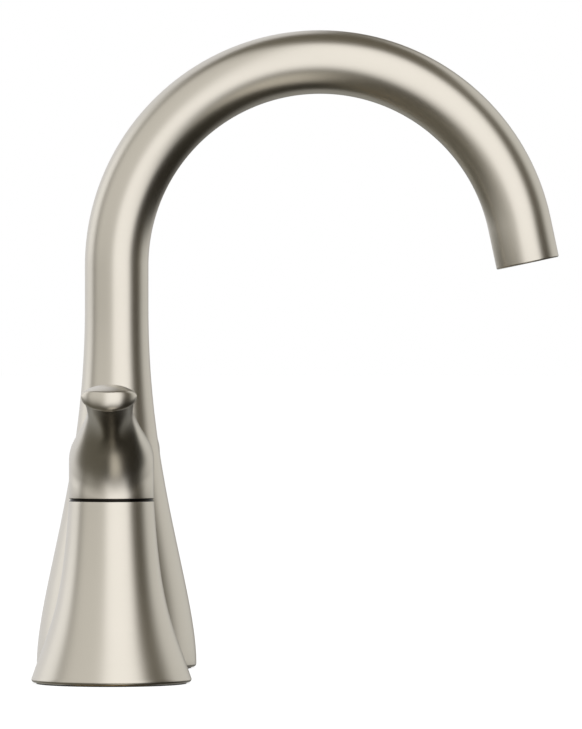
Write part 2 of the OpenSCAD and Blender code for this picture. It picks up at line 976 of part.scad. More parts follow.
module steel_washer() {
    color(steel)
        ring(steel_z, rubber_z, body_r + fit, washer_d / 2);
}

module mounting_nut() {
    color(brass)
        hex_nut(nut_z, steel_z, body_r + fit, valve_nut_r);
}

// Hose nipple screwed into the side of the valve body, on the spout's side and turned to the wall
module outlet_nipple() {
    inner_end = passage_u + nipple_depth;
    hex_face = body_r + nipple_hex_gap;
    color(brass)
        translate([0, 0, passage_bottom])
            rotate([0, -90, -outlet_turn])
                difference() {
                    union() {
                        rod(inner_end, hex_face + overcut, port_r - fit);
                        translate([0, 0, hex_face])
                            cylinder(h = nipple_hex_t, r = nipple_hex_r, $fn = 6);
                        rod(hex_face + nipple_hex_t - overcut, body_r + nipple_reach, nipple_thread_r);
                    }
                    rod(inner_end - overcut, body_r + nipple_reach + overcut, nipple_bore_r);
                }
}

// The hot valve is the cold valve's mirror image
module at_station(hand) {
    if (hand == "cold")
        translate([handle_spread / 2, 0, 0])
            children();
    else
        translate([-handle_spread / 2, 0, 0])
            mirror([1, 0, 0])
                children();
}

for (hand = hands)
    at_station(hand) {
        lever_handle();
        set_screw();
        screw_plug();
        stem_adapter();
        adapter_screw();
        cartridge_stem();
        stem_clip();
        stem_o_ring();
        upper_disc();
        lower_disc();
        seat_seal();
        cartridge_body();
        cartridge_nut();
        glide_ring();
        escutcheon();
        base_gasket();
        valve_body();
        body_gasket();
        rubber_washer();
        steel_washer();
        mounting_nut();
        outlet_nipple();
    }
spout_shell();
spout_base_gasket();
spout_shank();
shank_gasket();
spout_o_rings();
spout_rubber_washer();
spout_steel_washer();
spout_mounting_nut();
spout_tee();
tee_washer();
aerator_washer();
aerator_housing();
flow_restrictor();
aerator_screen();
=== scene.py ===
import json
import math

import bmesh
import bpy
from mathutils import Matrix, Vector
from mathutils.kdtree import KDTree


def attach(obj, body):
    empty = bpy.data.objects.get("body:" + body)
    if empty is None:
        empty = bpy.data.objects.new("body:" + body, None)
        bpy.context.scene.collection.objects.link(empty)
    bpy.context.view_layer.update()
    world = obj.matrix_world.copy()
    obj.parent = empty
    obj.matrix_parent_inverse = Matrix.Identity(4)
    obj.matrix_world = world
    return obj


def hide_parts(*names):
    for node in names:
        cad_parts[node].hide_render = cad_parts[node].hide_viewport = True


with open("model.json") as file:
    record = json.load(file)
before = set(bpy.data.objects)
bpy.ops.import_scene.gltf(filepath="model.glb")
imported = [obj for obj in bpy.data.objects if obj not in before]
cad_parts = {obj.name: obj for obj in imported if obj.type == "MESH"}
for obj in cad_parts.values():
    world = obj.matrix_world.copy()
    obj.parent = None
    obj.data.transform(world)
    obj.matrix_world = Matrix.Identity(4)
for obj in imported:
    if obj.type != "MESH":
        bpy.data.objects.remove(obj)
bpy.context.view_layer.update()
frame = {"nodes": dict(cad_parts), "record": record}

mm = 0.001  # shapes are given in mm, Blender works in metres
nodes = frame["nodes"]
stationX = {"hot": -101.6, "cold": 101.6}  # valve centres, mm from the spout
outward = {"hot": -1, "cold": 1}  # the way each lever points at rest
print("frame loaded:", len(nodes), "nodes")


# curves in the plane of a profile: pairs of radius and height, in mm

def bezierPoint(corners, t):
    shares = ((1 - t) ** 3, 3 * t * (1 - t) ** 2, 3 * t * t * (1 - t), t ** 3)
    return tuple(sum(s * c[k] for s, c in zip(shares, corners)) for k in (0, 1))


def bezierPoints(corners, count):
    return [bezierPoint(corners, i / count) for i in range(count + 1)]


def arcPoints(centre, radius, start, end, count):
    turns = [math.radians(start + (end - start) * i / count) for i in range(count + 1)]
    return [(centre[0] + radius * math.cos(a), centre[1] + radius * math.sin(a)) for a in turns]


def radiusAt(points, height):
    for (r0, z0), (r1, z1) in zip(points, points[1:]):
        if min(z0, z1) <= height <= max(z0, z1):
            return r0 + (r1 - r0) * (height - z0) / (z1 - z0)
    return points[-1][0]


def between(points, low, high, margin=0.01):
    return [p for p in points if low + margin < p[1] < high - margin]


def mixed(a, b, share):
    return a + (b - a) * share


def smoothStep(low, high, t):
    s = min(1, max(0, (t - low) / (high - low)))
    return s * s * (3 - 2 * s)


# mesh helpers

def addObject(name, bm):
    mesh = bpy.data.meshes.new(name)
    bm.to_mesh(mesh)
    bm.free()
    thing = bpy.data.objects.new(name, mesh)
    bpy.context.scene.collection.objects.link(thing)
    return thing


def spinProfile(bm, profile, steps, origin=(0, 0, 0), axis=(0, 0, 1), closed=False):
    start, along = Vector(origin) * mm, Vector(axis)
    line = [bm.verts.new(start + Vector((r * mm, 0, 0)) + along * z * mm) for r, z in profile]
    edges = [bm.edges.new(pair) for pair in zip(line, line[1:])]
    if closed:
        edges.append(bm.edges.new((line[-1], line[0])))
    bmesh.ops.spin(bm, geom=line + edges, cent=start, axis=along, angle=math.tau,
                   steps=steps, use_merge=True)


def growRing(bm, ring, places):
    # extrudes a closed ring of verts to new places and gives back the new ring in the same order
    edges = [bm.edges.get(pair) for pair in zip(ring, ring[1:] + ring[:1])]
    grown = bmesh.ops.extrude_edge_only(bm, edges=edges)["geom"]
    fresh = {v for v in grown if isinstance(v, bmesh.types.BMVert)}
    new = []
    for vert, place in zip(ring, places):
        twin = next(e.other_vert(vert) for e in vert.link_edges if e.other_vert(vert) in fresh)
        twin.co = Vector(place) * mm
        new.append(twin)
    return new


def closeUp(bm, gap=0.002):
    bmesh.ops.remove_doubles(bm, verts=bm.verts, dist=gap * mm)
    bmesh.ops.recalc_face_normals(bm, faces=bm.faces)


def newPiece(name, bm, body, crease=38):
    piece = addObject(name, bm)
    mesh = piece.data
    mesh.polygons.foreach_set("use_smooth", [True] * len(mesh.polygons))
    mesh.set_sharp_from_angle(angle=math.radians(crease))
    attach(piece, body)
    return piece


def drill(piece, cutters):
    for cutter in cutters:
        cut = piece.modifiers.new("drill", "BOOLEAN")
        cut.operation = "DIFFERENCE"
        cut.solver = "EXACT"
        cut.object = cutter
    bpy.context.view_layer.update()
    drilled = piece.evaluated_get(bpy.context.evaluated_depsgraph_get())
    mesh = bpy.data.meshes.new_from_object(drilled)
    piece.modifiers.clear()
    piece.data = mesh
    for cutter in cutters:
        bpy.data.objects.remove(cutter)


def setBrushPath(piece, pathOf, paintedShadeOf=lambda p: 0):
    # both in mm; the second attribute, a painted shade, is made once the first is filled, as making one
    # moves the other
    spots = [vert.co / mm for vert in piece.data.vertices]
    path = piece.data.attributes.new("brushPath", "FLOAT_VECTOR", "POINT")
    path.data.foreach_set("vector", [value * mm for p in spots for value in pathOf(p)])
    dull = piece.data.attributes.new("dull", "FLOAT", "POINT")
    dull.data.foreach_set("value", [paintedShadeOf(p) for p in spots])


# materials

noiseRange = (0.3, 0.7)  # where most values of a noise fall
mixShare, mixFrom, mixTo, mixOut = 0, 6, 7, 2  # the sockets of a colour Mix node
brushNoise = {"detail": 3, "roughness": 0.6, "mottleScale": 70, "mottleDetail": 2}


def addNode(tree, kind, **settings):
    node = tree.nodes.new(kind)
    for name, value in settings.items():
        setattr(node, name, value)
    return node


def setStops(ramp, stops):
    ramp.interpolation = "LINEAR"
    while len(ramp.elements) < len(stops):
        ramp.elements.new(0.5)
    for element, (place, color) in zip(ramp.elements, stops):
        element.position = place
        element.color = (*color, 1)


def newGroup(name, inputs, outputs):
    group = bpy.data.node_groups.new(name, "ShaderNodeTree")
    for label, kind, value in inputs:
        socket = group.interface.new_socket(name=label, in_out="INPUT", socket_type=kind)
        if value is not None:
            socket.default_value = value
    for label, kind in outputs:
        group.interface.new_socket(name=label, in_out="OUTPUT", socket_type=kind)
    return group, group.nodes.new("NodeGroupInput"), group.nodes.new("NodeGroupOutput")


def makeBrushGroup():
    # fine lines round a piece: x and y run round the section, z runs along the piece
    group, ins, outs = newGroup(
        "brushLines",
        [("Path", "NodeSocketVector", None), ("Around", "NodeSocketFloat", 60.0),
         ("Along", "NodeSocketFloat", 9000.0)],
        [("Lines", "NodeSocketFloat"), ("Mottle", "NodeSocketFloat")])
    link = group.links.new
    scale = addNode(group, "ShaderNodeCombineXYZ")
    stretch = addNode(group, "ShaderNodeVectorMath", operation="MULTIPLY")
    lines = addNode(group, "ShaderNodeTexNoise")
    lines.inputs["Scale"].default_value = 1
    lines.inputs["Detail"].default_value = brushNoise["detail"]
    lines.inputs["Roughness"].default_value = brushNoise["roughness"]
    mottle = addNode(group, "ShaderNodeTexNoise")
    mottle.inputs["Scale"].default_value = brushNoise["mottleScale"]
    mottle.inputs["Detail"].default_value = brushNoise["mottleDetail"]
    for side in ("X", "Y"):
        link(ins.outputs["Around"], scale.inputs[side])
    link(ins.outputs["Along"], scale.inputs["Z"])
    link(ins.outputs["Path"], stretch.inputs[0])
    link(scale.outputs["Vector"], stretch.inputs[1])
    link(stretch.outputs["Vector"], lines.inputs["Vector"])
    link(ins.outputs["Path"], mottle.inputs["Vector"])
    link(lines.outputs["Fac"], outs.inputs["Lines"])
    link(mottle.outputs["Fac"], outs.inputs["Mottle"])
    return group


def makeGrainGroup():
    # moulded, cast or fired skins: a fine grain with a broad unevenness
    group, ins, outs = newGroup(
        "skinGrain",
        [("Place", "NodeSocketVector", None), ("Fine", "NodeSocketFloat", 2500.0),
         ("Broad", "NodeSocketFloat", 150.0)],
        [("Grain", "NodeSocketFloat"), ("Patches", "NodeSocketFloat")])
    for scaleName, outName, detail in (("Fine", "Grain", 4), ("Broad", "Patches", 2)):
        noise = addNode(group, "ShaderNodeTexNoise")
        noise.inputs["Detail"].default_value = detail
        group.links.new(ins.outputs["Place"], noise.inputs["Vector"])
        group.links.new(ins.outputs[scaleName], noise.inputs["Scale"])
        group.links.new(noise.outputs["Fac"], outs.inputs[outName])
    return group


brushGroup = makeBrushGroup()
grainGroup = makeGrainGroup()


def startMaterial(name, finish):
    material = bpy.data.materials.new(name)
    material.use_nodes = True
    tree = material.node_tree
    shader = tree.nodes["Principled BSDF"]
    shader.inputs["Metallic"].default_value = finish["metallic"]
    return material, tree, shader


def spread(tree, source, low, high, target):
    ranged = addNode(tree, "ShaderNodeMapRange")
    for label, value in zip(("From Min", "From Max", "To Min", "To Max"), (*noiseRange, low, high)):
        ranged.inputs[label].default_value = value
    tree.links.new(source, ranged.inputs["Value"])
    tree.links.new(ranged.outputs["Result"], target)


def tint(tree, source, colorA, colorB, target):
    ramp = addNode(tree, "ShaderNodeValToRGB")
    setStops(ramp.color_ramp, list(zip(noiseRange, (colorA, colorB))))
    tree.links.new(source, ramp.inputs["Fac"])
    tree.links.new(ramp.outputs["Color"], target)


def bumpFrom(tree, source, depth, shader):
    bump = addNode(tree, "ShaderNodeBump")
    bump.inputs["Strength"].default_value = 1
    bump.inputs["Distance"].default_value = depth * mm
    tree.links.new(source, bump.inputs["Height"])
    tree.links.new(bump.outputs["Normal"], shader.inputs["Normal"])


def brushedMetal(name, finish, onPath):
    material, tree, shader = startMaterial(name, finish)
    brush = addNode(tree, "ShaderNodeGroup", node_tree=brushGroup)
    brush.inputs["Around"].default_value = finish["around"]
    brush.inputs["Along"].default_value = finish["along"]
    if onPath:
        place = addNode(tree, "ShaderNodeAttribute", attribute_name="brushPath").outputs["Vector"]
    else:
        place = addNode(tree, "ShaderNodeTexCoord").outputs["Object"]
    tree.links.new(place, brush.inputs["Path"])
    colorIn = shader.inputs["Base Color"]
    if onPath:
        paintedShadeMix = addNode(tree, "ShaderNodeMix", data_type="RGBA")  # towards the painted shade: near black in the seams and under the lever
        dull = addNode(tree, "ShaderNodeAttribute", attribute_name="dull")
        paintedShadeMix.inputs[mixTo].default_value = (*finish["dull"], 1)
        tree.links.new(dull.outputs["Fac"], paintedShadeMix.inputs[mixShare])
        tree.links.new(paintedShadeMix.outputs[mixOut], colorIn)
        colorIn = paintedShadeMix.inputs[mixFrom]
    tint(tree, brush.outputs["Mottle"], finish["color"], finish["colorB"], colorIn)
    spread(tree, brush.outputs["Lines"], *finish["roughness"], shader.inputs["Roughness"])
    bumpFrom(tree, brush.outputs["Lines"], finish["bump"], shader)
    return material


def plainSkin(name, finish):
    material, tree, shader = startMaterial(name, finish)
    grain = addNode(tree, "ShaderNodeGroup", node_tree=grainGroup)
    grain.inputs["Fine"].default_value = finish["fine"]
    grain.inputs["Broad"].default_value = finish["broad"]
    place = addNode(tree, "ShaderNodeTexCoord").outputs["Object"]
    tree.links.new(place, grain.inputs["Place"])
    tint(tree, grain.outputs["Patches"], finish["color"], finish["colorB"], shader.inputs["Base Color"])
    spread(tree, grain.outputs["Grain"], *finish["roughness"], shader.inputs["Roughness"])
    bumpFrom(tree, grain.outputs["Grain"], finish["bump"], shader)
    return material


# color and colorB: the two tones it wanders between; dull: the near-black tone painted as shade in
# seams and under the lever; roughness: from and to; around, along, fine and broad: scale of the pattern
# per metre; bump: its depth in mm
finishes = {
    "nickel": {
        "metallic": 1, "color": (0.79, 0.742, 0.655), "colorB": (0.80, 0.75, 0.665),
        "roughness": (0.28, 0.32), "around": 70, "along": 9000, "bump": 0.0006,
        "dull": (0.02, 0.017, 0.014),
    },
    "brass": {
        "metallic": 1, "color": (0.72, 0.53, 0.24), "colorB": (0.78, 0.58, 0.29),
        "roughness": (0.24, 0.36), "around": 90, "along": 5000, "bump": 0.002,
    },
    "steel": {
        "metallic": 1, "color": (0.58, 0.59, 0.60), "colorB": (0.66, 0.67, 0.69),
        "roughness": (0.26, 0.42), "fine": 900, "broad": 120, "bump": 0.002,
    },
    "rubber": {
        "metallic": 0, "color": (0.022, 0.022, 0.024), "colorB": (0.035, 0.034, 0.034),
        "roughness": (0.62, 0.78), "fine": 2600, "broad": 160, "bump": 0.01,
    },
    "white_plastic": {
        "metallic": 0, "color": (0.80, 0.80, 0.78), "colorB": (0.84, 0.84, 0.81),
        "roughness": (0.36, 0.48), "fine": 2200, "broad": 140, "bump": 0.004,
    },
    "grey_plastic": {
        "metallic": 0, "color": (0.17, 0.175, 0.185), "colorB": (0.21, 0.215, 0.22),
        "roughness": (0.4, 0.52), "fine": 2200, "broad": 140, "bump": 0.005,
    },
    "black_plastic": {
        "metallic": 0, "color": (0.014, 0.014, 0.015), "colorB": (0.02, 0.02, 0.021),
        "roughness": (0.5, 0.6), "fine": 2200, "broad": 140, "bump": 0.005,
    },
    "ceramic": {
        "metallic": 0, "color": (0.83, 0.80, 0.73), "colorB": (0.88, 0.86, 0.80),
        "roughness": (0.12, 0.2), "fine": 1500, "broad": 200, "bump": 0.001,
    },
}
nickelOnPath = brushedMetal("nickelBrushed", finishes["nickel"], True)
skins = {
    "nickel": brushedMetal("nickelSmall", finishes["nickel"], False),
    "brass": brushedMetal("brassTurned", finishes["brass"], False),
}
for slotName in ("steel", "rubber", "white_plastic", "grey_plastic", "black_plastic", "ceramic"):
    skins[slotName] = plainSkin(slotName, finishes[slotName])
print("materials made:", len(skins) + 1)


# spout: flares are bezier corners, each a radius and a height over the deck

spoutShape = {
    "tubeR": 10.28, "boreR": 8.85,
    "archY": -65.9, "archZ": 130.1, "archSweep": 168, "outletRun": 13.2,
    "footLift": 0.4, "footEdge": 1, "grooveR": (21.4, 24.3), "grooveTop": 1.6,
    "outerFlare": [(25.8, 1.4), (25.8, 25), (10.28, 61.5), (10.28, 116)],
    "innerFlare": [(22.9, 4.8), (22.9, 25), (8.85, 42), (8.85, 84)],
    "flangeR": 19.9, "webR": 10.55, "flangeTop": 4.8, "webTop": 14.8,
    "mouthEdge": 0.5, "mouthInner": 0.25, "seatR": 7.4, "seatAt": (0.7, 2.2),
    "steps": 128, "archSteps": 84, "outerSteps": 56, "innerSteps": 40,
    "footSteps": 8, "mouthSteps": 6, "tuckSteps": 4,
}


def makeSpout(s):
    around, lift, edge = s["steps"], s["footLift"], s["footEdge"]
    tube, bore, archY, archZ, run = s["tubeR"], s["boreR"], s["archY"], s["archZ"], s["outletRun"]
    outer = bezierPoints(s["outerFlare"], s["outerSteps"])
    inner = bezierPoints(s["innerFlare"], s["innerSteps"])[::-1]
    foot = s["outerFlare"][0][0]
    groove = s["grooveR"]
    profile = [(bore, archZ)] + between(inner, s["webTop"], archZ) + [
        (radiusAt(inner, s["webTop"]), s["webTop"]),
        (s["webR"], s["webTop"]), (s["webR"], s["flangeTop"]),
        (s["flangeR"], s["flangeTop"]), (s["flangeR"], lift),
        (groove[0], lift), (groove[0], s["grooveTop"]),
        (groove[1], s["grooveTop"]), (groove[1], lift),
    ] + arcPoints((foot - edge, lift + edge), edge, -90, 0, s["footSteps"])
    profile += outer[1:] + [(tube, archZ)]
    bm = bmesh.new()
    spinProfile(bm, profile, around)
    # the open top is spun on over the arch, and the mouth is closed by a profile of its own
    top = [e for e in bm.edges if all(abs(v.co.z - archZ * mm) < 1e-6 for v in e.verts)]
    ends = {v for e in top for v in e.verts}
    turn = math.radians(s["archSweep"])
    bmesh.ops.spin(bm, geom=list(ends) + top, cent=(0, archY * mm, archZ * mm), axis=(1, 0, 0),
                   angle=turn, steps=s["archSteps"])
    along = (0, -math.sin(turn), math.cos(turn))
    end = (0, archY - archY * math.cos(turn), archZ - archY * math.sin(turn))
    lip, tuck = s["mouthEdge"], s["mouthInner"]
    mouth = [(bore, 0), (bore, s["seatAt"][0]), (s["seatR"], s["seatAt"][0]),
             (s["seatR"], s["seatAt"][1]), (bore, s["seatAt"][1])]
    mouth += arcPoints((bore + tuck, run - tuck), tuck, 180, 90, s["tuckSteps"])
    mouth += arcPoints((tube - lip, run - lip), lip, 90, 0, s["mouthSteps"]) + [(tube, 0)]
    spinProfile(bm, mouth, around, end, along)
    closeUp(bm)
    piece = newPiece("spoutShell", bm, "deck_set")

    def pathOf(p):
        # x and y across the tube, z along it, up the foot and over the arch
        dy, dz = p.y - archY, p.z - archZ
        reach = -archY
        if dz < 0 and dy > 0:
            return p.x, p.y, p.z
        bend = math.atan2(dz, dy)
        if dz < 0 or bend > turn:
            out = Vector((0, p.y, p.z)) - Vector(end)
            past = out.dot(Vector(along))
            side = out - Vector(along) * past
            return p.x, math.copysign(side.length, -side.y), archZ + reach * turn + past
        return p.x, math.hypot(dy, dz) - reach, archZ + reach * bend

    setBrushPath(piece, pathOf)
    piece.data.materials.append(nickelOnPath)
    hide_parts("spout_shell")


makeSpout(spoutShape)
print("spout shell made")


# escutcheons: the register lip stands up inside the seam under the handle

escutcheonShape = {
    "footLift": 0.4, "footEdge": 1, "rimInner": 18.85, "rimTop": 3.4,
    "grooveR": (20.35, 23.25), "grooveTop": 1.6,
    "side": [(24.65, 1.4), (18.83, 18.3), (15.18, 22.2), (13.1, 56.2)],
    "topEdge": 0.35, "shineShare": 0.7, "lipR": 12.7, "lipRise": 0.45,
    "wall": 1.6, "glideBoreR": 11.6, "ledgeR": 11.0, "ledge": (48.5, 50),
    "collarR": 14.15, "collar": (14, 22),
    "steps": 128, "sideSteps": 64, "footSteps": 8, "topSteps": 6,
}


def makeEscutcheon(s, hand):
    lift, edge, topEdge, wall = s["footLift"], s["footEdge"], s["topEdge"], s["wall"]
    outer = bezierPoints(s["side"], s["sideSteps"])
    foot = outer[0][0]
    topZ = outer[-1][1]
    inner = [(r - wall, z) for r, z in outer][::-1]
    low, high = s["collar"]
    groove = s["grooveR"]
    shoulder = radiusAt(outer, topZ - topEdge)
    profile = [
        (s["rimInner"], lift), (groove[0], lift), (groove[0], s["grooveTop"]),
        (groove[1], s["grooveTop"]), (groove[1], lift),
    ] + arcPoints((foot - edge, lift + edge), edge, -90, 0, s["footSteps"])[:-1]
    profile += [outer[0]] + between(outer[1:], 0, topZ - topEdge)
    profile += arcPoints((shoulder - topEdge, topZ - topEdge), topEdge, 0, 90, s["topSteps"])
    lipTop = topZ + s["lipRise"]
    profile += [(s["lipR"], topZ), (s["lipR"], lipTop),
                (s["glideBoreR"], lipTop), (s["glideBoreR"], s["ledge"][1]),
                (s["ledgeR"], s["ledge"][1]), (s["ledgeR"], s["ledge"][0]),
                (radiusAt(inner, s["ledge"][0]), s["ledge"][0])]
    profile += between(inner, high, s["ledge"][0]) + [
        (radiusAt(inner, high), high), (s["collarR"], high), (s["collarR"], low),
        (radiusAt(inner, low), low)]
    profile += between(inner, s["rimTop"], low) + [
        (radiusAt(inner, s["rimTop"]), s["rimTop"]), (s["rimInner"], s["rimTop"])]
    bm = bmesh.new()
    spinProfile(bm, profile, s["steps"], (stationX[hand], 0, 0), closed=True)
    closeUp(bm)
    piece = newPiece(hand + "Escutcheon", bm, "deck_set")
    # painted shade: the lip and bore above most of the top rounding are painted near black, as shade in
    # the seam under the handle
    setBrushPath(piece, lambda p: (p.x - stationX[hand], p.y, p.z),
                 lambda p: 1 if p.z > topZ - topEdge * s["shineShare"] else 0)
    piece.data.materials.append(nickelOnPath)
    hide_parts(hand + "_escutcheon")


for hand in stationX:
    makeEscutcheon(escutcheonShape, hand)
print("escutcheons made")


# lever handles: u points along the lever, v across it. The rails are bezier corners, each a u and a
# height, for the back and top line and for the front and underside line

leverShape = {
    # the line of the lever and its sections
    "backRail": [(-13.1, 70), (-13.1, 77.6), (40, 99.4), (56, 89.55)],
    "frontRail": [(13.1, 57.15), (13.1, 63), (17.5, 85.7), (56, 83.9)],
    "hubR": 13.1, "hubZ": 56.8, "hubEdge": 0.3, "edgeSteps": 5,
    "cavityR": 11.75, "cavityTop": 60.5, "socketR": 6.9, "socketTop": 72.3,
    "neckHalf": 6.9, "paddleHalf": 8.6, "neckFrom": 0.14, "neckAt": 0.63, "paddleFrom": 0.6,
    "widest": (0.5, 0.35), "dip": 0.13, "dipAt": 0.23, "dipEnd": 0.43,
    # the end face, cut round, and the softened edge over and under it
    "tipU": 46.8, "tipR": 9.2, "creaseIn": 0.35, "underIn": 1.1, "underFade": 1.5,
    "creaseTurn": 40, "underTurn": 18, "noseHeight": 0.6,
    "creaseReach": 0.45, "lipReach": 0.9, "lipFade": 0.5, "mostReach": 0.4, "probe": 0.01,
    "around": 112, "lengthSteps": 72, "cornerSteps": 6, "noseSteps": 12,
    "tipSearch": 40, "leaveSearch": 20,  # halvings that find the edge and the end of its corner
    # the bores at the back for the set screw and its plug
    "screwZ": 64.2, "screwR": 2.15, "plugR": 2.75, "plugDepth": 1.2, "overcut": 1, "plugSteps": 48,
    "brushShares": (0.2, 0.3, 0.8),  # how fast the brushing runs outwards, upwards and per step
}
# where the lever is painted with shade: near black in the seam, and in a patch of painted shadow on its
# underside given by height, half width and depth, narrower on the wall side
leverShade = {
    "shineShare": 0.6, "inset": 1.5, "tipFade": (2, 6), "sideFade": (0.45, 1.25), "wallShare": 0.72,
    "patch": [(70, 6, 0), (74, 5, 0.45), (76.1, 3.2, 0.7), (78.5, 3.6, 0.76), (80.2, 4.4, 0.8),
              (83.4, 6.4, 0.8), (86, 7, 0.8)],
}


def leverPoint(s, turn, t):
    back, front = bezierPoint(s["backRail"], t), bezierPoint(s["frontRail"], t)
    paddle = smoothStep(s["paddleFrom"], 1, t)
    share = mixed(*s["widest"], paddle)
    share -= s["dip"] * smoothStep(0, s["dipAt"], t) * (1 - smoothStep(s["dipAt"], s["dipEnd"], t))
    middle = [mixed(b, f, share) for b, f in zip(back, front)]
    side = back if math.sin(turn) >= 0 else front
    half = mixed(s["hubR"], s["neckHalf"], smoothStep(s["neckFrom"], s["neckAt"], t))
    half += (s["paddleHalf"] - s["neckHalf"]) * paddle
    u, z = [mixed(m, e, abs(math.sin(turn))) for m, e in zip(middle, side)]
    return Vector((u, half * math.cos(turn), z))


def tipEdge(s, turn):
    # where a line along the lever meets the rounded tip
    under = max(0, -math.sin(turn))
    radius = s["tipR"] - s["creaseIn"] - (s["underIn"] - s["creaseIn"]) * under ** s["underFade"]
    low, high = 0.5, 1.0
    for _ in range(s["tipSearch"]):
        t = (low + high) / 2
        p = leverPoint(s, turn, t)
        outside = p.x > s["tipU"] and math.hypot(p.x - s["tipU"], p.y) > radius
        low, high = (low, t) if outside else (t, high)
    return low


def leverLine(s, turn):
    # from the hub along the lever, round the edge of its end face and to the middle of that face
    last = tipEdge(s, turn)
    edge = leverPoint(s, turn, last)
    twin = leverPoint(s, -turn, tipEdge(s, -turn))
    above, below = (edge, twin) if edge.z >= twin.z else (twin, edge)
    v = (edge.y + twin.y) / 2
    noseU = s["tipU"] + math.sqrt(max(0, s["tipR"] ** 2 - v * v))
    nose = Vector((noseU, v, mixed(below.z, above.z, s["noseHeight"])))
    first = math.radians(s["creaseTurn"] if math.sin(turn) >= 0 else s["underTurn"])

    def faceAt(share):
        a = mixed(first, math.pi / 2, share)
        outShare = (math.sin(a) - math.sin(first)) / (1 - math.sin(first))
        upShare = (math.cos(first) - math.cos(a)) / math.cos(first)
        return Vector((mixed(edge.x, nose.x, outShare), mixed(edge.y, nose.y, outShare),
                       mixed(edge.z, nose.z, upShare)))

    # the corner starts and ends a reach away from the edge itself
    reach = mixed(s["creaseReach"], s["lipReach"], max(0, -math.sin(turn)) ** s["lipFade"])
    reach = min(reach, s["mostReach"] * (nose - edge).length)
    pace = (edge - leverPoint(s, turn, last - s["probe"])).length / s["probe"]
    start = last - reach / pace
    line = [leverPoint(s, turn, start * i / s["lengthSteps"]) for i in range(s["lengthSteps"] + 1)]
    leave, far = 0, 1
    for _ in range(s["leaveSearch"]):
        share = (leave + far) / 2
        leave, far = (share, far) if (faceAt(share) - edge).length < reach else (leave, share)
    before, after = line[-1], faceAt(leave)
    for i in range(1, s["cornerSteps"] + 1):
        share = i / s["cornerSteps"]
        line.append(before.lerp(edge, share).lerp(edge.lerp(after, share), share))
    line += [faceAt(mixed(leave, 1, i / s["noseSteps"])) for i in range(1, s["noseSteps"] + 1)]
    return line


# painted shade: 1 in the seam under the hub; under the paddle, a painted shadow patch that fades
# towards the tip and the sides
def leverPaintedShade(s, shade, u, v, z, under):
    if z < s["hubZ"] + s["hubEdge"] * shade["shineShare"]:
        return 1
    if not under or u < s["hubR"] - shade["inset"]:
        return 0
    for (z0, half0, deep0), (z1, half1, deep1) in zip(shade["patch"], shade["patch"][1:]):
        if z0 <= z <= z1:
            share = (z - z0) / (z1 - z0)
            half = mixed(half0, half1, share) * (shade["wallShare"] if v > 0 else 1)
            ends, sides = shade["tipFade"], shade["sideFade"]
            inwards = 1 - smoothStep(s["tipU"] + ends[0], s["tipU"] + ends[1], u)
            midways = 1 - smoothStep(sides[0] * half, sides[1] * half, abs(v))
            return mixed(deep0, deep1, share) * inwards * midways
    return 0


def makeLever(s, shade, hand):
    count = s["around"]
    turns = [math.tau * i / count for i in range(count)]

    def place(u, v, z):
        return stationX[hand] + outward[hand] * u, v, z

    def circle(radius, z):
        return [place(-radius * math.sin(a), radius * math.cos(a), z) for a in turns]

    # one ring grows from the socket's ceiling down, out under the hub and on along the lever
    bm = bmesh.new()
    ring = bmesh.ops.create_circle(bm, cap_ends=True, segments=count, radius=1)["verts"]
    for vert, spot in zip(ring, circle(s["socketR"], s["socketTop"])):
        vert.co = Vector(spot) * mm
    hub = s["hubZ"]
    for radius, z in ((s["socketR"], s["cavityTop"]), (s["cavityR"], s["cavityTop"]),
                      (s["cavityR"], hub), (s["hubR"] - s["hubEdge"], hub)):
        ring = growRing(bm, ring, circle(radius, z))
    edgeCentre = (s["hubR"] - s["hubEdge"], hub + s["hubEdge"])
    for radius, z in arcPoints(edgeCentre, s["hubEdge"], -90, 0, s["edgeSteps"])[1:]:
        ring = growRing(bm, ring, circle(radius, z))
    lines = [leverLine(s, a) for a in turns]
    known = []
    for step in range(len(lines[0])):
        spots = [place(*line[step]) for line in lines]
        ring = growRing(bm, ring, spots)
        known += [(Vector(spot), step) for spot in spots]
    closeUp(bm)
    piece = newPiece(hand + "LeverHandle", bm, hand + "_handle")
    cutters = []
    over = s["overcut"]
    for radius, depth in ((s["screwR"], s["hubR"] - s["socketR"] + over), (s["plugR"], s["plugDepth"])):
        plug = bmesh.new()
        bmesh.ops.create_cone(plug, cap_ends=True, segments=s["plugSteps"], radius1=radius * mm,
                              radius2=radius * mm, depth=(depth + over) * mm)
        bmesh.ops.rotate(plug, verts=plug.verts, matrix=Matrix.Rotation(math.pi / 2, 3, "Y"))
        shift = place(-s["hubR"] + (depth - over) / 2, 0, s["screwZ"])
        bmesh.ops.translate(plug, verts=plug.verts, vec=Vector(shift) * mm)
        cutters.append(addObject("cutter", plug))
    drill(piece, cutters)
    # the drilled mesh has other verts, so each finds the nearest place on the lines
    tree = KDTree(len(known))
    for index, (spot, step) in enumerate(known):
        tree.insert(spot, index)
    tree.balance()
    outShare, upShare, stepShare = s["brushShares"]

    def pathOf(p):
        out = p.x - stationX[hand]
        if p.z < s["frontRail"][0][1]:
            return out, p.y, p.z
        spot, index, gap = tree.find(p)
        return out * outShare, p.y, p.z * upShare + known[index][1] * stepShare

    def paintedShadeOf(p):
        spot, index, gap = tree.find(p)
        under = math.sin(turns[index % count]) < 0
        return leverPaintedShade(s, shade, (p.x - stationX[hand]) * outward[hand], p.y, p.z, under)

    setBrushPath(piece, pathOf, paintedShadeOf)
    piece.data.materials.clear()
    piece.data.materials.append(nickelOnPath)
    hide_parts(hand + "_lever_handle")


for hand in stationX:
    makeLever(leverShape, leverShade, hand)
print("lever handles made")


# threads: a groove is cut round the plain rod of a piece

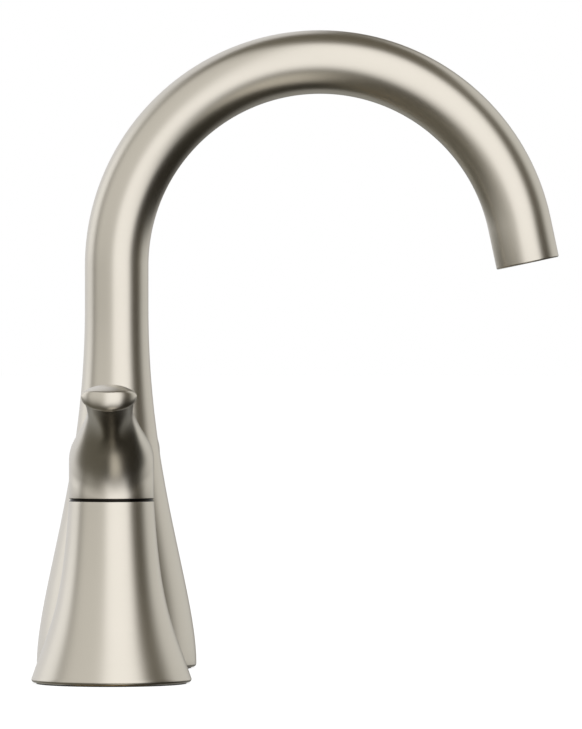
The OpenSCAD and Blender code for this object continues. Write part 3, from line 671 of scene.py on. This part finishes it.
threads = {
    "pipe": {"crestR": 10.4, "depth": 0.95, "pitch": 1.81, "steps": 28},
    "deck": {"crestR": 14, "depth": 0.8, "pitch": 1.5, "steps": 32},
    "hose": {"crestR": 7.1, "depth": 0.55, "pitch": 1.06, "steps": 20},
}
grooveShape = {"halfShare": 0.42, "over": 0.3, "crease": 30}
# each cut: the thread, then where it starts and ends along the rod
rodCuts = {
    "shank": [("pipe", -69, -2)],
    "body": [("deck", -41.5, -1), ("pipe", -86, -63.5)],
    "teeArm": [("hose", 23, 37)],
    "nipple": [("hose", 19, 33)],
}
hoseEnds = {"teeZ": -84, "teeDip": 20, "outletZ": -50, "outletTurn": 30}  # dip and turn in degrees


def cutsOn(rod, place, along=(0, 0, 1)):
    return [(threads[kind], place, along, low, high) for kind, low, high in rodCuts[rod]]


threadedPieces = {"spout_shank": cutsOn("shank", (0, 0, 0)), "spout_tee": []}
dipped = math.radians(hoseEnds["teeDip"])
for side in (-1, 1):
    arm = (side * math.cos(dipped), 0, -math.sin(dipped))
    threadedPieces["spout_tee"] += cutsOn("teeArm", (0, 0, hoseEnds["teeZ"]), arm)
turned = math.radians(hoseEnds["outletTurn"])  # towards the wall
for hand in stationX:
    outlet = (-outward[hand] * math.cos(turned), math.sin(turned), 0)
    threadedPieces[hand + "_valve_body"] = cutsOn("body", (stationX[hand], 0, 0))
    outletFoot = (stationX[hand], 0, hoseEnds["outletZ"])
    threadedPieces[hand + "_outlet_nipple"] = cutsOn("nipple", outletFoot, outlet)


def threadCutter(thread, place, along, low, high):
    pitch, crest = thread["pitch"], thread["crestR"]
    over, half = grooveShape["over"], grooveShape["halfShare"] * pitch
    bm = bmesh.new()
    spots = ((crest - thread["depth"], 0), (crest + over, -half), (crest + over, half))
    section = [bm.verts.new(Vector((r, 0, low + z)) * mm) for r, z in spots]
    edges = [bm.edges.new(pair) for pair in zip(section, section[1:] + section[:1])]
    turns = round((high - low) / pitch)
    steps = turns * thread["steps"]
    bmesh.ops.spin(bm, geom=section + edges, cent=(0, 0, 0), axis=(0, 0, 1), angle=math.tau * turns,
                   steps=steps, dvec=(0, 0, (high - low) / steps * mm))
    bmesh.ops.holes_fill(bm, edges=[e for e in bm.edges if e.is_boundary], sides=3)
    bmesh.ops.recalc_face_normals(bm, faces=bm.faces)
    lean = Vector(along).to_track_quat("Z", "Y").to_matrix()
    bmesh.ops.rotate(bm, verts=bm.verts, matrix=lean)
    bmesh.ops.translate(bm, verts=bm.verts, vec=Vector(place) * mm)
    return addObject("cutter", bm)


def makeThreaded(name, cuts):
    bm = bmesh.new()
    bm.from_mesh(nodes[name].data)
    bmesh.ops.transform(bm, matrix=nodes[name].matrix_world, verts=bm.verts)
    closeUp(bm)
    first, *others = name.split("_")
    title = first + "".join(word.title() for word in others) + "Threaded"
    piece = newPiece(title, bm, "deck_set", grooveShape["crease"])
    drill(piece, [threadCutter(*cut) for cut in cuts])
    piece.data.set_sharp_from_angle(angle=math.radians(grooveShape["crease"]))
    even = piece.modifiers.new("evenNormals", "WEIGHTED_NORMAL")
    even.keep_sharp = True
    piece.data.materials.clear()
    piece.data.materials.append(skins["brass"])
    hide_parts(name)


for name, cuts in threadedPieces.items():
    makeThreaded(name, cuts)
print("threads cut:", len(threadedPieces))


# the pieces that stay as they are get their finishes

slotOf = {part["node"]: part["material_slot"] for part in frame["record"]["subparts"]}
for name, node in nodes.items():
    if node.hide_render:
        continue
    # the glide rings are made black plastic in place of their own finish, a dark part standing in for
    # shade in the seam
    skin = skins["black_plastic" if name.endswith("glide_ring") else slotOf[name]]
    for slot in node.material_slots:
        slot.material = skin
    if not node.material_slots:
        node.data.materials.append(skin)
print("finishes set")


# floor, light and camera, in metres

floorShape = {"radius": 60, "steps": 64, "glow": 0.86, "tone": (0.3, 0.3, 0.3)}


def makeFloor(s):
    # it shows plain white from above, and not at all from under the deck
    bm = bmesh.new()
    bmesh.ops.create_circle(bm, cap_ends=True, segments=s["steps"], radius=s["radius"])
    floor = addObject("floor", bm)
    floor.visible_glossy = False
    material = bpy.data.materials.new("floorPale")
    material.use_nodes = True
    tree = material.node_tree
    tree.nodes.clear()
    glow = addNode(tree, "ShaderNodeEmission")
    glow.inputs["Strength"].default_value = s["glow"]
    matte = addNode(tree, "ShaderNodeBsdfDiffuse")
    matte.inputs["Color"].default_value = (*s["tone"], 1)
    both = addNode(tree, "ShaderNodeAddShader")
    clear = addNode(tree, "ShaderNodeBsdfTransparent")
    pick = addNode(tree, "ShaderNodeMixShader")
    out = addNode(tree, "ShaderNodeOutputMaterial")
    link = tree.links.new
    link(glow.outputs[0], both.inputs[0])
    link(matte.outputs[0], both.inputs[1])
    link(addNode(tree, "ShaderNodeNewGeometry").outputs["Backfacing"], pick.inputs[0])
    link(both.outputs[0], pick.inputs[1])
    link(clear.outputs[0], pick.inputs[2])
    link(pick.outputs[0], out.inputs["Surface"])
    floor.data.materials.append(material)


# soft cards round the faucet, in degrees: "turn" is the card's middle and half width, from the
# camera's side towards the outlet, "rise" its lower and upper edge above level, "soft" how wide
# its side, lower and upper edges fade, and "glow" its brightness and its tint
studio = {
    "plain": [(-90, 0.007), (-65, 0.032), (-45, 0.025), (-14, 0.014),
              (-6, 0.054), (20, 0.096), (90, 0.118)],
    "plainTint": (1, 0.89, 0.66),
    "cards": [
        {"turn": (-22, 19), "rise": (-28, -7), "soft": (14, 5, 4), "glow": (0.73, (1, 0.98, 0.95))},
        {"turn": (44, 14), "rise": (5, 52), "soft": (2, 4, 2), "glow": (0.43, (1, 0.97, 0.91))},
        {"turn": (-90, 64), "rise": (-85, -8), "soft": (22, 2, 2), "glow": (0.11, (1, 0.94, 0.76))},
        {"turn": (-174, 36), "rise": (-61, -12), "soft": (30, 2, 2), "glow": (0.31, (1, 1, 0.95))},
        {"turn": (-47, 37), "rise": (-12, 71), "soft": (12, 19, 8), "glow": (0.66, (1, 0.99, 0.95))},
        {"turn": (-132, 38), "rise": (-6, 46), "soft": (7, 10, 22), "glow": (0.99, (1, 1.01, 1.02))},
        {"turn": (-155, 27), "rise": (-3, 57), "soft": (3, 2, 2), "glow": (0.76, (1, 1.01, 1.04))},
        {"turn": (130, 33), "rise": (-8, 50), "soft": (15, 6, 2), "glow": (0.66, (1, 1, 0.97))},
        {"turn": (18, 32), "rise": (-23, 67), "soft": (8, 15, 9), "glow": (1.12, (1, 1, 1))},
        {"turn": (20, 22), "rise": (-77, -36), "soft": (15, 18, 12), "glow": (0.65, (1, 0.96, 0.86))},
    ],
}


def tinted(level, tone):
    return tuple(level * share for share in tone)


def makeCardGroup():
    group, ins, outs = newGroup(
        "softCard",
        [(label, "NodeSocketFloat", None) for label in
         ("Turn", "Rise", "Middle", "Half", "Low", "High", "SideSoft", "LowSoft", "HighSoft")],
        [("Mask", "NodeSocketFloat")])
    link = group.links.new

    def step(value, edge, soft, rising):
        # 0 to 1 over twice the softness, centred on the edge
        node = addNode(group, "ShaderNodeMapRange", interpolation_type="SMOOTHSTEP")
        for operation, label in (("SUBTRACT", "From Min"), ("ADD", "From Max")):
            limit = addNode(group, "ShaderNodeMath", operation=operation)
            link(ins.outputs[edge], limit.inputs[0])
            link(ins.outputs[soft], limit.inputs[1])
            link(limit.outputs[0], node.inputs[label])
        node.inputs["To Min"].default_value = 0 if rising else 1
        node.inputs["To Max"].default_value = 1 if rising else 0
        link(value, node.inputs["Value"])
        return node.outputs["Result"]

    away = addNode(group, "ShaderNodeMath", operation="SUBTRACT")
    wrap = addNode(group, "ShaderNodeMath", operation="WRAP")
    wrap.inputs[1].default_value, wrap.inputs[2].default_value = 180, -180
    size = addNode(group, "ShaderNodeMath", operation="ABSOLUTE")
    link(ins.outputs["Turn"], away.inputs[0])
    link(ins.outputs["Middle"], away.inputs[1])
    link(away.outputs[0], wrap.inputs[0])
    link(wrap.outputs[0], size.inputs[0])
    masks = [step(size.outputs[0], "Half", "SideSoft", False),
             step(ins.outputs["Rise"], "Low", "LowSoft", True),
             step(ins.outputs["Rise"], "High", "HighSoft", False)]
    for other in masks[1:]:
        times = addNode(group, "ShaderNodeMath", operation="MULTIPLY")
        link(masks[0], times.inputs[0])
        link(other, times.inputs[1])
        masks[0] = times.outputs[0]
    link(masks[0], outs.inputs["Mask"])
    return group


def makeWorld(light):
    world = bpy.data.worlds.new("studioWorld")
    bpy.context.scene.world = world
    world.use_nodes = True
    tree = world.node_tree
    tree.nodes.clear()
    link = tree.links.new
    xyz = addNode(tree, "ShaderNodeSeparateXYZ")
    link(addNode(tree, "ShaderNodeTexCoord").outputs["Generated"], xyz.inputs[0])

    def calc(operation, a, b=0):
        node = addNode(tree, "ShaderNodeMath", operation=operation)
        for socket, value in zip(node.inputs, (a, b)):
            if isinstance(value, (int, float)):
                socket.default_value = value
            else:
                link(value, socket)
        return node.outputs[0]

    turn = calc("DEGREES", calc("ARCTAN2", calc("MULTIPLY", xyz.outputs["Y"], -1),
                                calc("MULTIPLY", xyz.outputs["X"], -1)))
    rise = calc("DEGREES", calc("ARCSINE", xyz.outputs["Z"]))
    plain = addNode(tree, "ShaderNodeValToRGB")
    setStops(plain.color_ramp, [((height + 90) / 180, tinted(level, light["plainTint"]))
                                for height, level in light["plain"]])
    link(calc("ADD", calc("DIVIDE", rise, 180), 0.5), plain.inputs[0])
    view = plain.outputs["Color"]
    cardGroup = makeCardGroup()
    for card in light["cards"]:
        mask = addNode(tree, "ShaderNodeGroup", node_tree=cardGroup)
        link(turn, mask.inputs["Turn"])
        link(rise, mask.inputs["Rise"])
        for label, value in zip(("Middle", "Half", "Low", "High", "SideSoft", "LowSoft", "HighSoft"),
                                (*card["turn"], *card["rise"], *card["soft"])):
            mask.inputs[label].default_value = value
        over = addNode(tree, "ShaderNodeMix", data_type="RGBA")
        link(mask.outputs["Mask"], over.inputs[mixShare])
        link(view, over.inputs[mixFrom])
        over.inputs[mixTo].default_value = (*tinted(*card["glow"]), 1)
        view = over.outputs[mixOut]
    room = addNode(tree, "ShaderNodeBackground")
    link(view, room.inputs["Color"])
    backdrop = addNode(tree, "ShaderNodeBackground")
    backdrop.inputs["Color"].default_value = (1, 1, 1, 1)
    pick = addNode(tree, "ShaderNodeMixShader")
    link(addNode(tree, "ShaderNodeLightPath").outputs["Is Camera Ray"], pick.inputs[0])
    link(room.outputs[0], pick.inputs[1])
    link(backdrop.outputs[0], pick.inputs[2])
    link(pick.outputs[0], addNode(tree, "ShaderNodeOutputWorld").inputs["Surface"])


topLamp = {"place": (-0.5, -0.4, 1.8), "size": 1.6, "power": 14}


def makeLamp(s):
    lamp = bpy.data.lights.new("topLamp", "AREA")
    lamp.shape = "DISK"
    lamp.size = s["size"]
    lamp.energy = s["power"]
    piece = bpy.data.objects.new("topLamp", lamp)
    piece.location = s["place"]
    piece.rotation_euler = (-Vector(s["place"])).to_track_quat("-Z", "Y").to_euler()
    piece.visible_glossy = False
    piece.visible_camera = False
    bpy.context.scene.collection.objects.link(piece)


shot = {
    "place": (-2.059, -0.032, 0.0976),
    "yaw": 0.6795, "pitch": 0.0135,  # degrees towards the outlet, and up
    "focal": 6362, "longSide": 729, "sensor": 36,  # focal length in pixels of the photograph
}


def makeCamera(s):
    data = bpy.data.cameras.new("camera")
    data.sensor_width = s["sensor"]
    data.sensor_fit = "AUTO"
    data.lens = s["focal"] / s["longSide"] * s["sensor"]
    camera = bpy.data.objects.new("camera", data)
    yaw, pitch = math.radians(s["yaw"]), math.radians(s["pitch"])
    look = Vector((math.cos(yaw), -math.sin(yaw), math.tan(pitch)))
    camera.location = s["place"]
    camera.rotation_euler = look.to_track_quat("-Z", "Y").to_euler()
    bpy.context.scene.collection.objects.link(camera)
    bpy.context.scene.camera = camera


makeFloor(floorShape)
makeWorld(studio)
makeLamp(topLamp)
makeCamera(shot)
bpy.context.scene.view_settings.view_transform = "Standard"
print("floor, light and camera set")
